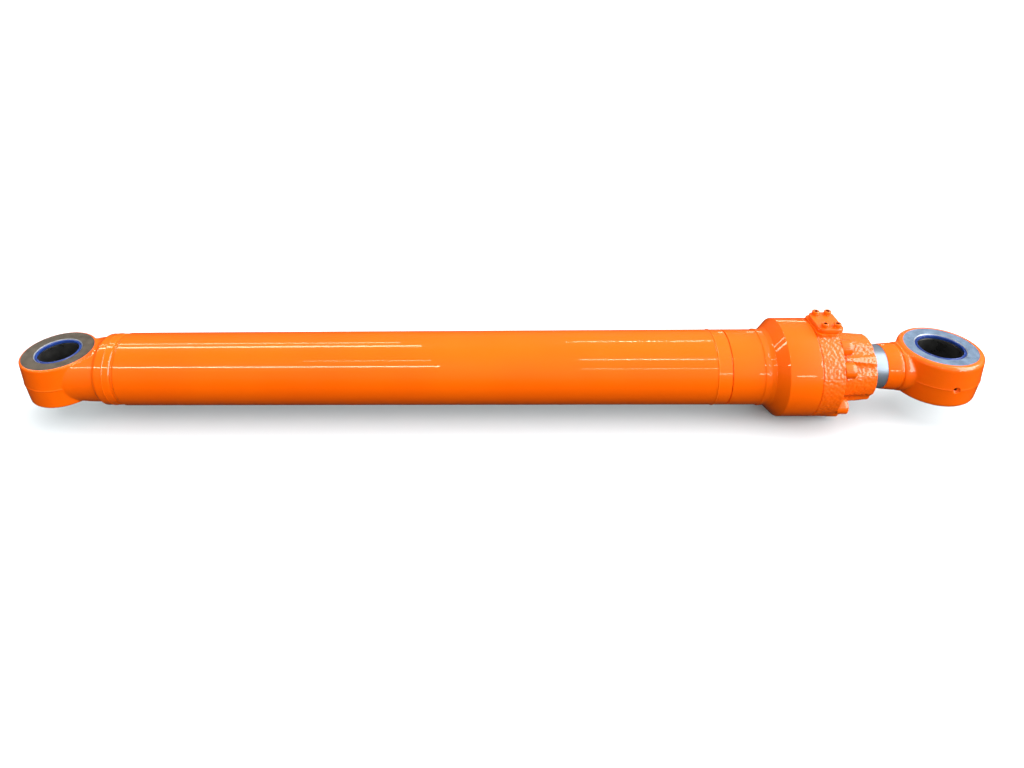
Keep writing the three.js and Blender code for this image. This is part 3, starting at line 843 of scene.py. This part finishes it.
def cap_port_weld():
    """The weld that follows the foot of the boss round the tube."""
    outline = rounded_rectangle(57, 83, 14, 10)
    dense = []
    for (ax, ay), (bx, by) in zip(outline, outline[1:] + outline[:1]):
        parts = max(1, round(math.hypot(bx - ax, by - ay) / 3))
        dense += [(ax + (bx - ax) * k / parts, ay + (by - ay) * k / parts) for k in range(parts)]
    path = []
    for across, length in dense:
        path.append(Vector((CAP_PORT_X + length, math.sqrt(TUBE_R ** 2 - across ** 2), across)))
    sides = 10
    verts, faces = [], []
    for i, at in enumerate(path):
        run = (path[(i + 1) % len(path)] - path[i - 1]).normalized()
        out = Vector((0, at.y, at.z)).normalized()
        across = run.cross(out)
        r = 3.2 + 0.35 * abs(math.sin(i * 1.3)) + 0.3 * noise.noise(at * 0.2)
        for k in range(sides):
            angle = 2 * math.pi * k / sides
            verts.append(at + (out * math.sin(angle) + across * math.cos(angle)) * r)
            here, there = i * sides, (i + 1) % len(path) * sides
            m = (k + 1) % sides
            faces.append((here + k, here + m, there + m, there + k))
    bead = new_piece("cap_port_weld_bead", verts, faces, LOOKS["gloss"])
    place(bead, "barrel", "gloss_paint", angle=60)


# ---- seals and rings ------------------------------------------------------------------------


def inner_radius(node):
    """Radius of the hole of a CAD ring round the cylinder's axis, in mm."""
    return min(math.hypot(v.co.y, v.co.z) for v in frame["nodes"][node].data.vertices) / MM


def ring_like(node, look, slot, body, fillet=0.5, lip=0):
    """A ring in the room of its CAD node. lip hollows the side that faces the pressure."""
    x0, x1 = span(node, X)
    outer = span(node, Z)[1]
    inside = inner_radius(node)
    middle = (inside + outer) / 2
    hollow = [(x0, middle - lip, fillet), (x0 + lip * 1.5, middle, fillet), (x0, middle + lip, fillet)]
    profile = [(x0, inside, fillet), *(hollow if lip else []), (x0, outer, fillet),
               (x1, outer, fillet), (x1, inside, fillet)]
    piece = revolve(node + "_ring", profile, LOOKS[look], sides=MEDIUM)
    place(piece, body, slot, [node])


def rings():
    for node in ("buffer_seal", "rod_seal"):
        ring_like(node, "urethane", "blue_urethane", "barrel", 0.4, 1.6)
    ring_like("rod_bushing", "bronze", "bronze", "barrel")
    ring_like("rod_seal_backup_ring", "nylon", "nylon", "barrel", 0.3)
    ring_like("gland_backup_ring", "nylon", "nylon", "barrel", 0.3)
    ring_like("gland_o_ring", "rubber", "black_rubber", "barrel", 2.2)
    ring_like("wiper_retaining_ring", "steel", "machined_steel", "barrel", 0.4)
    ring_like("piston_seal", "urethane", "blue_urethane", "piston_rings", 0.8)
    for kind in ("wear_ring", "contamination_ring"):
        for end in ("front", "rear"):
            ring_like("%s_%s" % (kind, end), "nylon", "nylon", "piston_rings", 0.3)
    ring_like("piston_o_ring", "rubber", "black_rubber", "rod", 1.8)


def wiper_seal():
    """The wiper's lip comes forward along the rod."""
    x0, x1 = span("wiper_seal", X)
    lip_r = ROD_R + 0.35
    profile = [(x0, lip_r + 1.5, 0.3), (x0, 57.4, 0.4), (x1, 57.4, 0.4), (x1, lip_r + 4.2, 0.4),
               (x1 + 3.2, lip_r, 0.3), (x1 + 0.5, lip_r, 0.3), (x0 + 3, lip_r + 1.5, 0.4)]
    piece = revolve("wiper_seal_lip", profile, LOOKS["urethane"], sides=MEDIUM)
    place(piece, "barrel", "blue_urethane", ["wiper_seal"])


# ---- rod assembly ---------------------------------------------------------------------------

PISTON_BORE = 40.15  # of the pieces on the rod's stub


def rod_eye():
    neck = ROD_WELD + 33
    flare = [(neck + 2, 0, 0), (neck + 2, 54.6, 0), (neck + 5, 54.8, 3), (neck + 10, 56, 6),
             (PIN_TO_PIN, 44, 0), (PIN_TO_PIN, 0, 0)]
    forging = revolve("rod_eye_forging", flare, LOOKS["forged"])
    combine(forging, spot_facers(PIN_TO_PIN, ROD_EYE["side"] + 1, 5))
    combine(forging, [eye_forging("eye", ROD_EYE, PIN_TO_PIN)], "UNION")
    soften(forging, 2.0, 8)
    combine(forging, [parting_line(ROD_EYE, PIN_TO_PIN)], "UNION")
    stem = revolve("stem", [
        (ROD_WELD, 0, 0), (ROD_WELD, ROD_R - 0.6, 0), (ROD_WELD, ROD_R + 1.1, 0.6),
        (neck - 12, 53, 6), (neck - 4, 53.6, 1.5), (neck - 1.5, 52.0, 1), (neck + 1.5, 52.0, 1),
        (neck + 4, 54.6, 1.5), (neck + 8, 54, 0), (neck + 8, 0, 0)], LOOKS["gloss"], sides=FINE)
    combine(forging, [stem], "UNION")
    combine(forging, face_cutters(ROD_EYE, PIN_TO_PIN, LOOKS["rod_face"]))
    # The bore's chamfers take the painted highlight of the mouth look.
    combine(forging, [bore_cutter(PIN_TO_PIN, LOOKS["mouth"])])
    rim = ROD_EYE["middle"]
    sink = [(rim - 6, 0, 0), (rim - 6, 4.6, 1), (rim - 4, 6.4, 0.8), (rim + 4, 10.5, 0), (rim + 4, 0, 0)]
    hole = [(40, 0, 0), (40, 3.6, 0), (rim, 3.6, 0), (rim, 0, 0)]
    # The grease hole's walls take the painted shade of the socket look.
    for name, profile, look in (("sink", sink, "forged"), ("hole", hole, "socket")):
        cutter = revolve(name, profile, LOOKS[look], "Z", 0, SMALL)
        to_side = Matrix.Rotation(math.pi / 2, 4, "X")
        moved(cutter, Matrix.Translation((PIN_TO_PIN, 0, PARTING_Z)) @ to_side)
        combine(forging, [cutter])
    place(forging, "rod", "gloss_paint", ["rod_eye"], 28)


def piston_rod():
    shoulder = span("cushion_ring", X)[1] + GAP
    stub = 40  # radius of the end that carries the piston
    profile = [(ROD_END, 0, 0), (ROD_END, stub, 2), (shoulder, stub, 0.8), (shoulder, ROD_R, 3),
               (ROD_WELD, ROD_R, 0.4), (ROD_WELD, 0, 0)]
    rod = revolve("piston_rod_chromed", profile, LOOKS["chrome"], sides=FINE)
    rod.data.materials.append(LOOKS["steel"])
    for face in rod.data.polygons:
        if face.center.x / MM < shoulder + 2:
            face.material_index = 1
    place(rod, "rod", "chrome", ["piston_rod"])


def piston():
    x0, x1 = span("piston", X)
    r = 71.5
    profile = [(x0, PISTON_BORE, 1), (x0, r, 1.5)]
    for node in ("contamination_ring_rear", "wear_ring_rear", "piston_seal", "wear_ring_front",
                 "contamination_ring_front"):
        a, b = span(node, X)
        groove_r = inner_radius(node) - 0.6
        profile += [(a - GAP, r, 0.3), (a - GAP, groove_r, 0.3), (b + GAP, groove_r, 0.3),
                    (b + GAP, r, 0.3)]
    profile += [(x1, r, 1.5), (x1, PISTON_BORE, 1)]
    place(revolve("piston_turned", profile, LOOKS["steel"]), "rod", "machined_steel", ["piston"])


def cushion_ring():
    x0, x1 = span("cushion_ring", X)
    profile = [(x0, PISTON_BORE, 0.5), (x0, 58, 0.8), (x1 - 8, 58, 4), (x1, 56.5, 1.5),
               (x1, PISTON_BORE, 0.5)]
    cushion = revolve("cushion_ring_turned", profile, LOOKS["steel"])
    place(cushion, "rod", "machined_steel", ["cushion_ring"])


def piston_nut():
    """The nut with its four spanner slots, and the set screw that locks it."""
    x0, x1 = span("piston_nut", X)
    middle = Matrix.Translation(((x0 + x1) / 2, 0, 0))
    profile = [(x0, PISTON_BORE, 1.5), (x0, 58, 2), (x1, 58, 2), (x1, PISTON_BORE, 1)]
    nut = revolve("piston_nut_turned", profile, LOOKS["steel"])
    slots = []
    for turn in (45, 135):
        slot = prism("slot", rounded_rectangle(16, 12, 1), -70, 70, LOOKS["steel"])
        turned = Matrix.Rotation(math.radians(turn), 4, "X")
        slots.append(moved(slot, Matrix.Translation((x0, 0, 0)) @ turned))
    hole = moved(prism("hole", polygon(5.2, SMALL), 39, 60, LOOKS["steel"]), middle)
    combine(nut, [*slots, hole])
    place(nut, "rod", "machined_steel", ["piston_nut"])

    profile = [(40.4, 0, 0), (40.4, 4.9, 1), (57, 4.9, 0.6), (57, 0, 0)]
    screw = revolve("nut_set_screw_turned", profile, LOOKS["steel"], "Z", (x0 + x1) / 2, SMALL)
    # The key's walls take the painted shade of the socket look.
    key = moved(prism("key", polygon(2.9, 6), 52, 58, LOOKS["socket"]), middle)
    combine(screw, [key])
    place(screw, "rod", "machined_steel", ["nut_set_screw"])


# ---- stage ----------------------------------------------------------------------------------


def camera():
    """Stands 1.4 m in front of the cylinder and 1 m above it, and looks down at it."""
    data = bpy.data.cameras.new("camera")
    data.lens = 25.27
    data.sensor_width = 36
    data.shift_x = 0.0426
    data.shift_y = -0.1379
    data.clip_end = 100
    view = bpy.data.objects.new("camera", data)
    pan = Matrix.Rotation(math.radians(2.70), 4, "Z")
    tilt = Matrix.Rotation(math.radians(90 - 25.68), 4, "X")
    roll = Matrix.Rotation(math.radians(-1.80), 4, "Z")
    view.matrix_world = Matrix.Translation(Vector((1053.3, -1398.9, 999.8)) * MM) @ pan @ tilt @ roll
    bpy.context.scene.collection.objects.link(view)
    bpy.context.scene.camera = view


def floor():
    """A wide pale floor just under the lowest piece."""
    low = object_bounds()[0].z / MM - GAP
    size = 20000
    verts = [(-size, -size, low), (size, -size, low), (size, size, low), (-size, size, low)]
    look = Look("floor_white", Roughness=0.7, Specular_IOR_Level=0.2)
    look.set("Base Color", look.mix(look.noise(3, 2), (0.72, 0.76, 0.775), (0.71, 0.75, 0.765)))
    mesh = bpy.data.meshes.new("floor")
    mesh.from_pydata([Vector(v) * MM for v in verts], [], [(0, 1, 2, 3)])
    mesh.materials.append(look.material)
    plane = bpy.data.objects.new("floor", mesh)
    bpy.context.scene.collection.objects.link(plane)
    plane.visible_glossy = False
    plane.visible_diffuse = False
    plane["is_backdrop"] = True


def panel(name, place_at, target, width, height, radiance, glossy=True, diffuse=True, colour=(1, 1, 1)):
    """A soft rectangular light of a given brightness, with its width along X."""
    data = bpy.data.lights.new(name, "AREA")
    data.shape = "RECTANGLE"
    data.size = width
    data.size_y = height
    data.energy = radiance * math.pi * width * height
    data.color = colour
    light = bpy.data.objects.new(name, data)
    light.location = place_at
    towards = Vector(target) - Vector(place_at)
    light.rotation_euler = towards.to_track_quat("-Z", "Y").to_euler()
    light.visible_camera = False
    light.visible_glossy = glossy
    light.visible_diffuse = diffuse
    bpy.context.scene.collection.objects.link(light)


def world():
    """White behind the object, a dim room in its reflections, and a sky brighter towards +X."""
    made = bpy.data.worlds.new("studio")
    made.use_nodes = True
    tree = made.node_tree

    def number(operation, a, b, c=0.0):
        node = tree.nodes.new("ShaderNodeMath")
        node.operation = operation
        for socket, value in zip(node.inputs, (a, b, c)):
            if isinstance(value, bpy.types.NodeSocket):
                tree.links.new(value, socket)
            else:
                socket.default_value = value
        return node.outputs[0]

    direction = tree.nodes.new("ShaderNodeSeparateXYZ")
    tree.links.new(tree.nodes.new("ShaderNodeTexCoord").outputs["Generated"], direction.inputs[0])
    path = tree.nodes.new("ShaderNodeLightPath")
    above = number("GREATER_THAN", direction.outputs["Z"], 0.0)
    sky = number("MULTIPLY", number("MULTIPLY_ADD", direction.outputs["X"], SKY * TILT, SKY), above)
    room = number("MULTIPLY_ADD", above, ROOM, ROOM)
    mirrored = number("MULTIPLY_ADD", path.outputs["Is Glossy Ray"], number("SUBTRACT", room, sky), sky)
    rest = number("SUBTRACT", BACKDROP, mirrored)
    seen = number("MULTIPLY_ADD", path.outputs["Is Camera Ray"], rest, mirrored)
    background = tree.nodes["Background"]
    background.inputs["Color"].default_value = (1, 1, 1, 1)
    tree.links.new(seen, background.inputs["Strength"])
    bpy.context.scene.world = made


LAMP_DISTANCE = 2.6
WARM = (1, 0.88, 0.66)


def strip(name, elevation, x0, x1, height, radiance, colour=WARM):
    """A lamp along X, seen only as a line of light in the paint.

    elevation is its angle about the X axis, from the front, in degrees.
    """
    angle = math.radians(elevation)
    across, up = -LAMP_DISTANCE * math.cos(angle), LAMP_DISTANCE * math.sin(angle)
    at = ((x0 + x1) / 2, across, up)
    panel(name, at, ((x0 + x1) / 2, 0, 0), x1 - x0, height, radiance, diffuse=False, colour=colour)


# Name, elevation, first and last x in metres, height in metres, brightness.
LAMPS = [
    ("lamp_back_left", 120, -3.4, 0.25, 0.10, 14),
    ("lamp_top_left", 106, -3.4, 0.35, 0.20, 17),
    ("lamp_front_left", 57, -0.4, 0.35, 0.05, 16),
    ("lamp_low_left", 39, -3.4, 0.40, 0.10, 26),
    ("lamp_back_right", 118, 1.2, 2.05, 0.03, 60),
    ("lamp_front_right", 57, 1.2, 2.05, 0.03, 50),
    ("lamp_low_right", 30, 1.2, 2.05, 0.03, 20),
    ("lamp_behind", 166, 2.45, 2.95, 0.08, 14),
    ("lamp_near", 13, 2.45, 3.0, 0.12, 12),
]
WINDOWS = {"window_low": 23, "window_middle": 57, "window_high": 91}  # their elevations


def lights():
    panel("overhead", (1.9, 0.6, 3.2), (1.6, 0, 0), 2.6, 1.0, 2.5, glossy=False)
    panel("key", (5.2, -1.3, 1.6), (1.9, 0, 0), 1.8, 1.8, 6.0, glossy=False)
    for lamp in LAMPS:
        strip(*lamp)
    for name, elevation in WINDOWS.items():
        strip(name, elevation, 3.22, 7.2, 1.58, 8, (1, 1, 1))
    bpy.context.scene.view_settings.view_transform = "Standard"


# ---- build ----------------------------------------------------------------------------------

camera()
cap_end()
eye_fittings("cap", 0, "barrel")
barrel_tube()
barrel_collar()
gland_head()
head_bolts()
port_fittings("head", HEAD_PAD)
cap_port_boss()
cap_port_weld()
port_fittings("cap", CAP_PAD)
rings()
wiper_seal()
piston_rod()
rod_eye()
eye_fittings("rod", PIN_TO_PIN, "rod")
piston()
cushion_ring()
piston_nut()
floor()
world()
lights()
